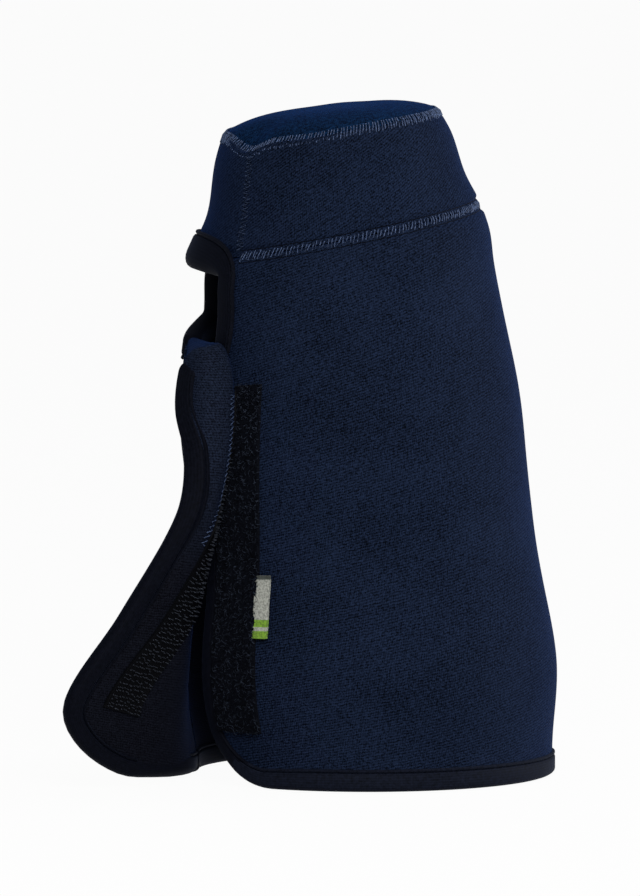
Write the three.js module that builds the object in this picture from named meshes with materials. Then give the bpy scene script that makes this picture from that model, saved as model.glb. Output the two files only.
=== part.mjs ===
// Soft pouch: a sewn neoprene sleeve, open at its hem.
// A conical body panel wraps round from the slit's right edge to its left edge, a collar and a
// crown close the narrow end, and a hook-and-loop flap closes the slit below a side window.
// Millimetres, +Z up, +X to the right of the slit seen from the front, standing on the hem.

import * as THREE from "three";

// Driving dimensions: the filled shape, as rings stacked on a leaning axis
const HEM_RADIUS = 63.5;
const HEM_BAND = 9;
const BELLY_RADIUS = 66.2;
const BELLY_HEIGHT = 39;
const WAIST_RADIUS = 61.6;
const WAIST_HEIGHT = 80;
const SHOULDER_RADIUS = 58.2;
const SHOULDER_HEIGHT = 132;
const NECK_RADIUS = 49.8;
const NECK_HEIGHT = 187.5;
const COLLAR_RADIUS = 44.8;
const BRIM_RADIUS = 41.1;
const CROWN_RADIUS = 37.3;
const CROWN_HEIGHT = 223.8;
const CROWN_DOME = 6.9;
const CROWN_FULLNESS = 2.5;
const NECK_LEAN = -10;
const CROWN_LEAN = -12.6;
const NECK_TILT = 11;
const CROWN_TILT = 8.4;

// Sheet goods and the room left between sewn pieces
const NEOPRENE = 4.5;
const FLAP_NEOPRENE = 4;
const TAPE_THICKNESS = 1.6;
const BINDING_WALL = 1;
const BINDING_DEPTH = 5;
const CLEARANCE = 0.4;
const EDGE_ROOM = 1.1;
const SEAM_WIDTH = 5;
const SEAM_THICKNESS = 1.1;
const SEAM_STAND = 0.6;

// Slit, window and corners, as angles round the axis in degrees from +X
const SLIT_RIGHT = 215.5;
const SLIT_LEFT = 183;
const SLIT_CORNER = 25;
const WINDOW_LEFT = 152;
const WINDOW_RIGHT = 217.8;
const WINDOW_SILL = 156;
const WINDOW_SILL_ROUND = 9;
const WINDOW_TAPER = 30;
const WINDOW_DROP = 7.5;
const WINDOW_RISE = 9;
const WINDOW_BINDING_DEPTH = 8;

// Closure: the flap folds along a straight slanting line and carries the hook tape
const FOLD_TOP = { height: 105, angle: 227.5, stand: 8.5 };
const FOLD_FOOT = { height: 4, angle: 205.4, stand: 13.4 };
const FLAP_TOP_WIDTH = 12;
const FLAP_FOOT_WIDTH = 54;
const FLAP_TOP_HEADING = 194;
const FLAP_FOOT_HEADING = 218;
const FLAP_CORNER = 25;
const MARGIN_TOP_WIDTH = 10;
const MARGIN_TOP_HEADING = 205;
const CREST_ANGLE = 226;
const CREST_STAND = 7;
const TAPE_WIDTH = 18;
const HOOK_MARGIN = 13;
const HOOK_FOOT = 24;
const HOOK_HEAD = 92;
const HOOK_LEAST_WIDTH = 3;
const LOOP_FOOT = 22;
const LOOP_HEAD = 134;

// Folded side tab sewn in beside the loop tape
const TAB_HEIGHT = 22;
const TAB_LENGTH = 6;
const TAB_FOOT = 54;
const TAB_THICKNESS = 1.2;

// Facets
const BODY_COLUMNS = 46;
const RING_COLUMNS = 54;
const COLLAR_ROWS = 6;
const CORNER_STEPS = 5;
const FLAP_ROWS = 12;
const FLAP_COLUMNS = 5;
const LAPEL_COLUMNS = 8;
const TAPE_ROWS = 14;
const TAPE_COLUMNS = 4;

const NAVY = { color: 0x10203a, roughness: 0.85, metalness: 0 };
const NAVY_INSIDE = { color: 0x0e1626, roughness: 0.9, metalness: 0 };
const BINDING = { color: 0x0b1220, roughness: 0.7, metalness: 0 };
const LOOP = { color: 0x08090c, roughness: 1, metalness: 0 };
const HOOK = { color: 0x0c0d10, roughness: 0.6, metalness: 0 };
const THREAD = { color: 0x4a5878, roughness: 0.8, metalness: 0 };
const TAB = { color: 0xb9bdb2, roughness: 0.8, metalness: 0 };

const radians = THREE.MathUtils.degToRad;
const lerp = THREE.MathUtils.lerp;

// Smooth curve through [place, value] stations, straight before the first and after the last
function throughStations(stations) {
  const slope = stations.map((_, i) => {
    const before = stations[Math.max(i - 1, 0)];
    const after = stations[Math.min(i + 1, stations.length - 1)];
    return (after[1] - before[1]) / (after[0] - before[0]);
  });
  return (place) => {
    let i = 0;
    while (i < stations.length - 2 && place > stations[i + 1][0]) i += 1;
    const span = stations[i + 1][0] - stations[i][0];
    const t = THREE.MathUtils.clamp((place - stations[i][0]) / span, 0, 1);
    const rise = t * t * (3 - 2 * t);
    const leave = t * (1 - t) * (1 - t) * span * slope[i];
    const arrive = t * t * (t - 1) * span * slope[i + 1];
    return lerp(stations[i][1], stations[i + 1][1], rise) + leave + arrive;
  };
}

const bodyRadius = throughStations([
  [HEM_BAND, HEM_RADIUS],
  [BELLY_HEIGHT, BELLY_RADIUS],
  [WAIST_HEIGHT, WAIST_RADIUS],
  [SHOULDER_HEIGHT, SHOULDER_RADIUS],
  [NECK_HEIGHT, NECK_RADIUS],
]);

const collarRadius = throughStations([
  [NECK_HEIGHT, NECK_RADIUS],
  [lerp(NECK_HEIGHT, CROWN_HEIGHT, 1 / 3), COLLAR_RADIUS],
  [lerp(NECK_HEIGHT, CROWN_HEIGHT, 3 / 4), BRIM_RADIUS],
  [CROWN_HEIGHT, CROWN_RADIUS],
]);

function collarShare(height) {
  return (height - NECK_HEIGHT) / (CROWN_HEIGHT - NECK_HEIGHT);
}

function bodyShare(height) {
  return Math.max(height - HEM_BAND, 0) / (NECK_HEIGHT - HEM_BAND);
}

function lean(height) {
  if (height <= NECK_HEIGHT) return NECK_LEAN * bodyShare(height);
  return lerp(NECK_LEAN, CROWN_LEAN, collarShare(height));
}

function tilt(height) {
  if (height <= NECK_HEIGHT) return radians(NECK_TILT * bodyShare(height));
  return radians(lerp(NECK_TILT, CROWN_TILT, collarShare(height)));
}

// Point on a ring of the leaning stack: angle in degrees, radius from the ring's centre
function onRing(angle, height, radius) {
  const across = radius * Math.cos(radians(angle));
  const deep = radius * Math.sin(radians(angle));
  const turn = tilt(height);
  return new THREE.Vector3(
    lean(height) + across * Math.cos(turn),
    deep,
    height + across * Math.sin(turn),
  );
}

// A sheet's two faces at one place on the pouch wall
function wall(angle, height, radius, thickness = NEOPRENE) {
  return {
    outer: onRing(angle, height, radius),
    inner: onRing(angle, height, radius - thickness),
  };
}

// Closed surface from triangles, turned so that its faces point out
function solid(points, triangles) {
  let volume = 0;
  for (const [a, b, c] of triangles)
    volume += points[a].dot(new THREE.Vector3().crossVectors(points[b], points[c]));
  const order = volume > 0 ? [0, 1, 2] : [0, 2, 1];
  const geometry = new THREE.BufferGeometry().setFromPoints(points);
  geometry.setIndex(triangles.flatMap((t) => order.map((i) => t[i])));
  geometry.computeVertexNormals();
  return geometry;
}

// Solid sheet from rows of { outer, inner } pairs; a looped sheet joins its last column to its first
function sheet(rows, looped = false) {
  const wide = rows[0].length;
  const points = rows.flatMap((row) => row.flatMap((pair) => [pair.outer, pair.inner]));
  const at = (row, column, side) => 2 * (row * wide + (column % wide)) + side;
  const triangles = [];
  const quad = (a, b, c, d) => triangles.push([a, b, c], [a, c, d]);
  const last = rows.length - 1;
  const columns = looped ? wide : wide - 1;
  for (let c = 0; c < columns; c += 1) {
    for (let r = 0; r < last; r += 1) {
      quad(at(r, c, 0), at(r, c + 1, 0), at(r + 1, c + 1, 0), at(r + 1, c, 0));
      quad(at(r, c, 1), at(r + 1, c, 1), at(r + 1, c + 1, 1), at(r, c + 1, 1));
    }
    quad(at(0, c, 0), at(0, c, 1), at(0, c + 1, 1), at(0, c + 1, 0));
    quad(at(last, c, 0), at(last, c + 1, 0), at(last, c + 1, 1), at(last, c, 1));
  }
  if (!looped)
    for (let r = 0; r < last; r += 1) {
      quad(at(r, 0, 0), at(r + 1, 0, 0), at(r + 1, 0, 1), at(r, 0, 1));
      quad(at(r, wide - 1, 0), at(r, wide - 1, 1), at(r + 1, wide - 1, 1), at(r + 1, wide - 1, 0));
    }
  return solid(points, triangles);
}

// Solid swept along stations of { origin, out, away }; the section is [out, away] pairs
function sweep(stations, section, looped = false) {
  const points = stations.flatMap((s) =>
    section.map(([out, away]) =>
      s.origin.clone().addScaledVector(s.out, out).addScaledVector(s.away, away),
    ),
  );
  const n = section.length;
  const triangles = [];
  const spans = looped ? stations.length : stations.length - 1;
  for (let s = 0; s < spans; s += 1)
    for (let i = 0; i < n; i += 1) {
      const here = s * n;
      const next = ((s + 1) % stations.length) * n;
      const j = (i + 1) % n;
      triangles.push([here + i, here + j, next + j], [here + i, next + j, next + i]);
    }
  if (!looped) {
    const outline = section.map(([out, away]) => new THREE.Vector2(out, away));
    const cap = THREE.ShapeUtils.triangulateShape(outline, []);
    const turned = THREE.ShapeUtils.isClockWise(outline);
    const end = (stations.length - 1) * n;
    for (const [a, b, c] of cap) {
      triangles.push(turned ? [a, b, c] : [a, c, b]);
      triangles.push(turned ? [end + a, end + c, end + b] : [end + a, end + b, end + c]);
    }
  }
  return solid(points, triangles);
}

// Folded tape gripping a sheet's edge: each pair is the edge, each depth pair lies one lip inside it
function bindingAlong(edge, within, thickness, depth = BINDING_DEPTH) {
  const half = thickness / 2 + CLEARANCE;
  const outside = half + BINDING_WALL;
  const section = [
    [outside, -depth],
    [outside, EDGE_ROOM + BINDING_WALL],
    [-outside, EDGE_ROOM + BINDING_WALL],
    [-outside, -depth],
    [-half, -depth],
    [-half, EDGE_ROOM],
    [half, EDGE_ROOM],
    [half, -depth],
  ];
  const middle = (pair) => pair.outer.clone().lerp(pair.inner, 0.5);
  const stations = edge.map((pair, i) => {
    const origin = middle(pair);
    const away = origin.clone().sub(middle(within[i])).normalize();
    const out = pair.outer.clone().sub(pair.inner);
    out.addScaledVector(away, -out.dot(away)).normalize();
    return { origin, out, away };
  });
  return sweep(stations, section);
}

function evenly(from, to, steps) {
  return Array.from({ length: steps + 1 }, (_, i) => lerp(from, to, i / steps));
}

// How far a rounded corner of that radius draws an edge in, at a height above the corner's foot
function cornerInset(rise, radius) {
  if (rise >= radius) return 0;
  return radius - Math.sqrt(radius * radius - (radius - rise) * (radius - rise));
}

function cornerRises(radius) {
  return evenly(0, Math.PI / 2, CORNER_STEPS).map((a) => radius * (1 - Math.cos(a)));
}

const HEM_EDGE = BINDING_WALL + EDGE_ROOM;
const NECK_JOINT = CLEARANCE / 2;

// Window: its sides taper up to an arch that springs below the neck and ends on the collar
const windowSpring = NECK_HEIGHT - WINDOW_DROP;
const windowMiddle = (WINDOW_RIGHT + WINDOW_LEFT) / 2;
const windowHalf = (WINDOW_RIGHT - WINDOW_LEFT) / 2;

function archShare(height) {
  const rise = Math.max(height - windowSpring, 0) / WINDOW_RISE;
  return Math.sqrt(Math.max(1 - rise * rise, 0));
}

// Slit edges of the body panel, as angles at each height
function slitRightAngle(height) {
  if (height > windowSpring) return windowMiddle + windowHalf * archShare(height);
  const taper = THREE.MathUtils.smoothstep(height, WINDOW_SILL - WINDOW_TAPER, windowSpring);
  const inset = cornerInset(height - HEM_EDGE, SLIT_CORNER);
  return lerp(SLIT_RIGHT, WINDOW_RIGHT, taper) + angleFor(inset, height);
}

function slitLeftAngle(height) {
  if (height > windowSpring) return windowMiddle - windowHalf * archShare(height);
  const share = THREE.MathUtils.smoothstep(height, WINDOW_SILL, WINDOW_SILL + WINDOW_SILL_ROUND);
  return lerp(SLIT_LEFT, WINDOW_LEFT, share);
}

function angleFor(length, height) {
  return THREE.MathUtils.radToDeg(length / bodyRadius(height));
}

const ARCH_STEPS = 4;
const archTurnAtNeck = Math.asin((NECK_HEIGHT - NECK_JOINT - windowSpring) / WINDOW_RISE);

function archHeight(turn) {
  return windowSpring + WINDOW_RISE * Math.sin(turn);
}

const bodyHeights = [
  ...cornerRises(SLIT_CORNER).map((rise) => HEM_EDGE + rise),
  ...evenly(HEM_EDGE + SLIT_CORNER, WINDOW_SILL, 8).slice(1),
  ...evenly(WINDOW_SILL, WINDOW_SILL + WINDOW_SILL_ROUND, 3).slice(1),
  ...evenly(WINDOW_SILL + WINDOW_SILL_ROUND, windowSpring, 2).slice(1),
  ...evenly(0, archTurnAtNeck, ARCH_STEPS).slice(1).map(archHeight),
];

const bodyRows = bodyHeights.map((height) =>
  evenly(slitRightAngle(height), 360 + slitLeftAngle(height), BODY_COLUMNS).map((angle) =>
    wall(angle, height, bodyRadius(height)),
  ),
);

// Collar: a closed cone whose lower edge takes the top of the window's arch
function collarFoot(angle) {
  const away = Math.min(Math.abs(angle - windowMiddle) / windowHalf, 1);
  const arch = windowSpring + WINDOW_RISE * Math.sqrt(1 - away * away);
  return Math.max(NECK_HEIGHT + NECK_JOINT, arch);
}

const collarHead = CROWN_HEIGHT - NEOPRENE - CLEARANCE;
const ARCH_COLUMNS = 8;
const archTurnOnCollar = Math.asin((NECK_HEIGHT + NECK_JOINT - windowSpring) / WINDOW_RISE);
const collarTurns = evenly(Math.PI - archTurnOnCollar, archTurnOnCollar, ARCH_COLUMNS);
const archAngles = collarTurns.map((turn) => windowMiddle + windowHalf * Math.cos(turn));
const collarAngles = [
  ...archAngles,
  ...evenly(archAngles.at(-1), 360 + archAngles[0], RING_COLUMNS - ARCH_COLUMNS).slice(1, -1),
];

function collarPair(angle, height) {
  return wall(angle, height, collarRadius(height));
}

const collarRows = evenly(0, 1, COLLAR_ROWS).map((share) =>
  collarAngles.map((angle) => collarPair(angle, lerp(collarFoot(angle), collarHead, share))),
);

// Fold line of the flap, a straight line in space that stands off the body
const foldTop = onRing(
  FOLD_TOP.angle,
  FOLD_TOP.height,
  bodyRadius(FOLD_TOP.height) + FOLD_TOP.stand,
);
const foldFoot = onRing(
  FOLD_FOOT.angle,
  FOLD_FOOT.height,
  bodyRadius(FOLD_FOOT.height) + FOLD_FOOT.stand,
);
const foldAxis = foldFoot.clone().sub(foldTop).normalize();

// Place on the flap: share 0 at the foot of the fold and 1 at its top, reach in mm from the fold
function onFlap(share, reach, lift = 0) {
  const heading = radians(lerp(FLAP_FOOT_HEADING, FLAP_TOP_HEADING, share * share));
  const along = new THREE.Vector3(Math.cos(heading), Math.sin(heading), 0);
  const out = new THREE.Vector3().crossVectors(foldAxis, along).normalize();
  const origin = foldFoot.clone().lerp(foldTop, share);
  return origin.addScaledVector(along, reach).addScaledVector(out, lift);
}

function flapPair(share, reach) {
  return {
    outer: onFlap(share, reach, FLAP_NEOPRENE / 2),
    inner: onFlap(share, reach, -FLAP_NEOPRENE / 2),
  };
}

const foldLength = foldTop.distanceTo(foldFoot);

function flapReach(share) {
  const full = lerp(FLAP_FOOT_WIDTH, FLAP_TOP_WIDTH, share);
  return full - HEM_EDGE - cornerInset(share * foldLength, FLAP_CORNER);
}

const FLAP_ROOT = FLAP_NEOPRENE / 2 + CLEARANCE;
const flapShares = [
  ...cornerRises(FLAP_CORNER).map((rise) => rise / foldLength),
  ...evenly(FLAP_CORNER / foldLength, 1, FLAP_ROWS - CORNER_STEPS).slice(1),
];
const flapRows = flapShares.map((share) =>
  evenly(FLAP_ROOT, flapReach(share), FLAP_COLUMNS).map((reach) => flapPair(share, reach)),
);

// Left edge of the slit carried on as a lapel, from the body panel to the fold line
function crestAt(height) {
  const top = FOLD_TOP.height;
  const share = (height - FOLD_FOOT.height) / (top - FOLD_FOOT.height);
  if (height > top) {
    const rise = (height - top) / (WINDOW_SILL - top);
    return {
      angle: lerp(FOLD_TOP.angle, CREST_ANGLE, rise),
      stand: lerp(FOLD_TOP.stand, CREST_STAND, rise),
    };
  }
  const point = foldFoot.clone().lerp(foldTop, share);
  const across = point.x - lean(height);
  return {
    angle: 180 + THREE.MathUtils.radToDeg(Math.atan2(-point.y, -across)),
    stand: Math.hypot(across, point.y) - bodyRadius(height),
  };
}

const LAPEL_ROOM = FLAP_NEOPRENE / 2 + 2 * CLEARANCE;
const MARGIN_ROOT = FLAP_NEOPRENE - 2 * CLEARANCE;

function lapelPair(share, height) {
  const radius = bodyRadius(height);
  const crest = crestAt(Math.max(height, HEM_BAND));
  const from = SLIT_LEFT + angleFor(CLEARANCE, height);
  const room = height > FOLD_TOP.height ? MARGIN_ROOT : LAPEL_ROOM + FLAP_ROOT;
  const to = crest.angle - angleFor(room, height);
  const stand = (crest.stand + FLAP_NEOPRENE / 2) * share * share * (3 - 2 * share);
  return wall(lerp(from, to, share), height, radius + stand, FLAP_NEOPRENE);
}

const lapelHeights = [
  HEM_EDGE,
  HEM_BAND,
  ...evenly(HEM_BAND, FOLD_TOP.height, 6).slice(1),
  ...evenly(FOLD_TOP.height, WINDOW_SILL, 3).slice(1),
];
const lapelRows = lapelHeights.map((height) =>
  evenly(0, 1, LAPEL_COLUMNS).map((share) => lapelPair(share, height)),
);

// Fold-back margin of the lapel, above the flap
function marginPair(rise, reach) {
  const height = lerp(FOLD_TOP.height + 2 * CLEARANCE, WINDOW_SILL, rise);
  const crest = crestAt(height);
  const origin = onRing(crest.angle, height, bodyRadius(height) + crest.stand);
  origin.z = height;
  const heading = radians(lerp(FLAP_TOP_HEADING, MARGIN_TOP_HEADING, rise));
  const along = new THREE.Vector3(Math.cos(heading), Math.sin(heading), 0);
  const out = new THREE.Vector3(-along.y, along.x, 0);
  const middle = origin.addScaledVector(along, reach);
  return {
    outer: middle.clone().addScaledVector(out, -FLAP_NEOPRENE / 2),
    inner: middle.clone().addScaledVector(out, FLAP_NEOPRENE / 2),
  };
}

const MARGIN_ROWS = 4;
const marginRows = evenly(0, 1, MARGIN_ROWS).map((rise) =>
  evenly(MARGIN_ROOT, lerp(FLAP_TOP_WIDTH, MARGIN_TOP_WIDTH, rise), 2).map((reach) =>
    marginPair(rise, reach),
  ),
);

// Loop tape on the body beside the slit, hook tape on the flap's inner face
const loopRows = evenly(LOOP_FOOT, LOOP_HEAD, TAPE_ROWS).map((height) => {
  const radius = bodyRadius(height) + CLEARANCE + TAPE_THICKNESS;
  const left = SLIT_RIGHT + angleFor(BINDING_DEPTH + 2 * CLEARANCE, height);
  const right = left + angleFor(TAPE_WIDTH, height);
  return evenly(left, right, TAPE_COLUMNS).map((angle) =>
    wall(angle, height, radius, TAPE_THICKNESS),
  );
});

const hookRows = evenly(HOOK_FOOT, HOOK_HEAD, TAPE_ROWS).map((height) => {
  const share = (height - FOLD_FOOT.height) / (FOLD_TOP.height - FOLD_FOOT.height);
  const edge = lerp(FLAP_FOOT_WIDTH, FLAP_TOP_WIDTH, share) - HOOK_MARGIN;
  const start = Math.max(edge - TAPE_WIDTH, FLAP_ROOT + TAPE_THICKNESS);
  const stop = Math.max(edge, start + HOOK_LEAST_WIDTH);
  const near = FLAP_NEOPRENE / 2 + CLEARANCE;
  return evenly(start, stop, TAPE_COLUMNS).map((reach) => ({
    outer: onFlap(share, reach, -near),
    inner: onFlap(share, reach, -near - TAPE_THICKNESS),
  }));
});

// Seam bands: flat cover seams lying on the joints
function seamBand(angles, lower, upper, radiusAt, looped = false) {
  const rows = [lower, upper].map((height) =>
    angles.map((angle) =>
      wall(angle, height, radiusAt(height) + SEAM_STAND + SEAM_THICKNESS, SEAM_THICKNESS),
    ),
  );
  return sheet(rows, looped);
}

function pouchRadius(height) {
  return height < NECK_HEIGHT ? bodyRadius(height) : collarRadius(height);
}

const SEAM_HALF = SEAM_WIDTH / 2;
const lipAngle = angleFor(WINDOW_BINDING_DEPTH + 2 * CLEARANCE, NECK_HEIGHT);
const neckAngles = evenly(WINDOW_RIGHT + lipAngle, 360 + WINDOW_LEFT - lipAngle, BODY_COLUMNS);
const crownAngles = evenly(0, 360, RING_COLUMNS).slice(0, -1);
const collarSeamAngle = WINDOW_RIGHT + lipAngle - angleFor(SEAM_HALF, NECK_HEIGHT);
const collarSeamTurn = angleFor(SEAM_HALF, CROWN_HEIGHT);
const collarSeamAngles = [collarSeamAngle - collarSeamTurn, collarSeamAngle + collarSeamTurn];

// Crown: a domed disc, turned about its own axis
function crownGeometry() {
  const dome = (x) => CROWN_DOME * (1 - (x / CROWN_RADIUS) ** CROWN_FULLNESS);
  const top = evenly(0, CROWN_RADIUS, 6).map((x) => new THREE.Vector2(x, dome(x)));
  const under = top.toReversed().map((p) => new THREE.Vector2(p.x, p.y - NEOPRENE));
  const turned = new THREE.LatheGeometry([...under.toReversed(), ...top.toReversed()], RING_COLUMNS);
  return turned.rotateX(Math.PI / 2);
}

// Side tab: a short folded ribbon standing off the body behind the loop tape's right edge
function tabGeometry() {
  const beside = BINDING_DEPTH + TAPE_WIDTH + 4 * CLEARANCE;
  const rows = evenly(TAB_FOOT, TAB_FOOT + TAB_HEIGHT, 3).map((height) => {
    const radius = bodyRadius(height) + CLEARANCE + TAB_THICKNESS;
    const start = SLIT_RIGHT + angleFor(beside, height);
    return evenly(start, start + angleFor(TAB_LENGTH, height), 2).map((angle) =>
      wall(angle, height, radius, TAB_THICKNESS),
    );
  });
  return sheet(rows);
}

const pouch = new THREE.Group();

function add(name, geometry, look) {
  const mesh = new THREE.Mesh(geometry, new THREE.MeshStandardMaterial(look));
  mesh.name = name;
  pouch.add(mesh);
  return mesh;
}

// Body, collar and crown
add("body_panel", sheet(bodyRows), NAVY);
add("collar_panel", sheet(collarRows, true), NAVY);
const crown = add("crown_panel", crownGeometry(), NAVY);
crown.position.set(CROWN_LEAN, 0, CROWN_HEIGHT);
crown.rotation.y = -radians(CROWN_TILT);

// Closure
add("lapel_panel", sheet(lapelRows), NAVY);
add("lapel_margin", sheet(marginRows), NAVY_INSIDE);
add("flap_panel", sheet(flapRows), NAVY_INSIDE);
add("hook_tape", sheet(hookRows), HOOK);
add("loop_tape", sheet(loopRows), LOOP);

// Bindings
const springRow = bodyHeights.indexOf(windowSpring);
const downward = [...bodyHeights.keys()].slice(0, springRow + 1).toReversed();
const slitWithin = (row) => {
  const height = bodyHeights[row];
  const corner = height - HEM_EDGE < SLIT_CORNER;
  const turn = corner ? Math.acos(1 - (height - HEM_EDGE) / SLIT_CORNER) : Math.PI / 2;
  const inward = angleFor(BINDING_DEPTH * Math.sin(turn), height);
  const above = height + BINDING_DEPTH * Math.cos(turn);
  return wall(slitRightAngle(height) + inward, above, bodyRadius(above));
};
add(
  "slit_binding",
  bindingAlong(downward.map((row) => bodyRows[row][0]), downward.map(slitWithin), NEOPRENE),
  BINDING,
);

const hemStart = slitRightAngle(HEM_EDGE) + angleFor(EDGE_ROOM, HEM_EDGE);
const hemEdge = [
  wall(hemStart, HEM_EDGE, bodyRadius(HEM_EDGE)),
  ...bodyRows[0].slice(1),
  ...lapelRows[0].slice(1),
];
const hemWithin = hemEdge.map((pair) => ({
  outer: pair.outer.clone().setZ(HEM_EDGE + BINDING_DEPTH),
  inner: pair.inner.clone().setZ(HEM_EDGE + BINDING_DEPTH),
}));
add("hem_binding", bindingAlong(hemEdge, hemWithin, NEOPRENE), BINDING);

// Window binding: up the left side, over the arch and down to where the slit's binding starts
const sillRow = bodyHeights.indexOf(WINDOW_SILL + WINDOW_SILL_ROUND);
const windowSide = bodyHeights.slice(sillRow, springRow);
const bodyTurns = evenly(0, archTurnAtNeck, ARCH_STEPS);
const archTurns = [
  ...bodyTurns.map((turn) => Math.PI - turn),
  ...collarTurns.slice(1, -1),
  ...bodyTurns.toReversed().slice(0, -1),
];

function archPair(turn, inward) {
  const square = new THREE.Vector2(
    Math.cos(turn) / (radians(windowHalf) * NECK_RADIUS),
    Math.sin(turn) / WINDOW_RISE,
  ).setLength(inward);
  const angle = windowMiddle + windowHalf * Math.cos(turn) + angleFor(square.x, NECK_HEIGHT);
  const height = archHeight(turn) + square.y;
  return wall(angle, height, pouchRadius(height));
}

const leftSide = (inward) =>
  windowSide.map((height) =>
    wall(WINDOW_LEFT - angleFor(inward, height), height, bodyRadius(height)),
  );
const windowEdge = (inward) => [
  ...leftSide(inward),
  ...archTurns.map((turn) => archPair(turn, inward)),
];
add(
  "window_binding",
  bindingAlong(
    windowEdge(0),
    windowEdge(WINDOW_BINDING_DEPTH),
    NEOPRENE,
    WINDOW_BINDING_DEPTH,
  ),
  BINDING,
);

const flapWithin = flapShares.map((share) => {
  const rise = share * foldLength;
  const turn = rise < FLAP_CORNER ? Math.acos(1 - rise / FLAP_CORNER) : Math.PI / 2;
  const above = share + (BINDING_DEPTH * Math.cos(turn)) / foldLength;
  return flapPair(above, flapReach(share) - BINDING_DEPTH * Math.sin(turn));
});
const flapFoot = evenly(FLAP_ROOT, flapReach(0), FLAP_COLUMNS).slice(0, -1);
const lipShare = BINDING_DEPTH / foldLength;
add(
  "flap_binding",
  bindingAlong(
    [
      ...flapFoot.map((reach) => flapPair(0, reach)),
      ...flapShares.map((share) => flapPair(share, flapReach(share))),
    ],
    [...flapFoot.map((reach) => flapPair(lipShare, reach)), ...flapWithin],
    FLAP_NEOPRENE,
  ),
  BINDING,
);

const marginEdge = marginRows.map((row) => row[row.length - 1]);
const marginWithin = evenly(0, 1, MARGIN_ROWS).map((rise) =>
  marginPair(rise, lerp(FLAP_TOP_WIDTH, MARGIN_TOP_WIDTH, rise) - BINDING_DEPTH),
);
add("lapel_binding", bindingAlong(marginEdge, marginWithin, FLAP_NEOPRENE), BINDING);

// Seams and tab
add(
  "neck_seam",
  seamBand(neckAngles, NECK_HEIGHT - SEAM_HALF, NECK_HEIGHT + SEAM_HALF, pouchRadius),
  THREAD,
);
add(
  "crown_seam",
  seamBand(crownAngles, CROWN_HEIGHT - SEAM_WIDTH, CROWN_HEIGHT, pouchRadius, true),
  THREAD,
);
add(
  "collar_seam",
  seamBand(
    collarSeamAngles,
    NECK_HEIGHT + SEAM_HALF + CLEARANCE,
    CROWN_HEIGHT - SEAM_WIDTH - CLEARANCE,
    pouchRadius,
  ),
  THREAD,
);
add("side_tab", tabGeometry(), TAB);

const origin = new THREE.Box3().setFromObject(pouch);
const middle = origin.getCenter(new THREE.Vector3());
pouch.children.forEach((piece) => piece.position.sub(new THREE.Vector3(middle.x, middle.y, 0)));

export default pouch;
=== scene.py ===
# Soft pouch: the sewn neoprene surfaces, tapes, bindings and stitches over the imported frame.
# Shapes are worked out in millimetres from the pouch's own axis and shifted into the frame.

import math

import bpy
import numpy as np
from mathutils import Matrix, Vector


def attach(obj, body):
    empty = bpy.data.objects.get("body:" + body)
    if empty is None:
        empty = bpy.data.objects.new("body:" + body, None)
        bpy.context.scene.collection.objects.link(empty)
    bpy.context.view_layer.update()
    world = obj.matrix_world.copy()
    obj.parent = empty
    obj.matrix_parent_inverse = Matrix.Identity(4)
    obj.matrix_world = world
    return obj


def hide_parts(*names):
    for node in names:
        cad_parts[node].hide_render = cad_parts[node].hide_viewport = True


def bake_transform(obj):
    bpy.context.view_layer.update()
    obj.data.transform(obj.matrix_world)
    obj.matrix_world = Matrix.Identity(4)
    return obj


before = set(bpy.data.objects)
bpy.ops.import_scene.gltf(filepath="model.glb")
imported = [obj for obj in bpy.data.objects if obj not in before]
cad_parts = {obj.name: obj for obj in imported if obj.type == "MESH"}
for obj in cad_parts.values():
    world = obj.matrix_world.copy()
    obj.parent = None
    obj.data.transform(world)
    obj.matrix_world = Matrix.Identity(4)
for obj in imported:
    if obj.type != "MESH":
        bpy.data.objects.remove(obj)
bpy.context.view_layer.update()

MM = 0.001
AXIS_SHIFT = np.array([20.09, 0.007, 0.0])
rng = np.random.default_rng(7)

# Sizes in millimetres and angles in degrees round the axis; wall and openings are as in the solids
HEM_RADIUS = 63.5
HEM_BAND = 9.0
HEM_EDGE = 2.1
BELLY = (39.0, 66.2)
WAIST = (80.0, 61.6)
SHOULDER = (132.0, 58.2)
NECK_HEIGHT = 187.5
NECK_RADIUS = 49.8
COLLAR_RADIUS = 44.8
BRIM_RADIUS = 41.1
CROWN_RADIUS = 37.3
NECK_LEAN, CROWN_LEAN = -10.0, -12.6
NEOPRENE = 4.5
FLAP_NEOPRENE = 4.0
SLIT_RIGHT, SLIT_LEFT = 215.5, 183.0
SLIT_CORNER = 25.0
WINDOW_LEFT, WINDOW_RIGHT = 152.0, 217.8
WINDOW_SILL, WINDOW_SILL_ROUND = 156.0, 9.0
WINDOW_TAPER = 30.0
WINDOW_DROP, WINDOW_RISE = 7.5, 9.0
COLLAR_SEAM_ANGLE = 225.0
BINDING_DEPTH, WINDOW_BINDING_DEPTH = 5.0, 8.0
TAPE_WIDTH = 18.0
TAPE_GAP = 0.8
TAB_FOOT, TAB_HEIGHT, TAB_LENGTH = 54.0, 22.0, 6.0

# Crown, flap and tapes, shaped a little closer to the cloth than in the solids
CROWN_HEIGHT = 225.1
CROWN_DOME, CROWN_FULLNESS = 5.0, 4.0
CROWN_THICKNESS = 2.5
NECK_TILT, CROWN_TILT = 11.0, 6.4
FLAP_FOOT, FLAP_HEAD = 3.5, 159.0
FLAP_CORNER, FLAP_HEAD_CORNER = 28.0, 6.0
FLAP_ROOT = 182.0
FLAP_LIFT, FLAP_LIFT_REACH = 4.0, 60.0
FLAP_HEAD_ROUND = 3.0
HOOK_WIDTH = 15.5
HOOK_FOOT, HOOK_HEAD, HOOK_SLOPE = 28.0, 142.0, 4.5
CREST_FOOT = 88.0
LOOP_FOOT, LOOP_HEAD = 20.0, 143.0

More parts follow.
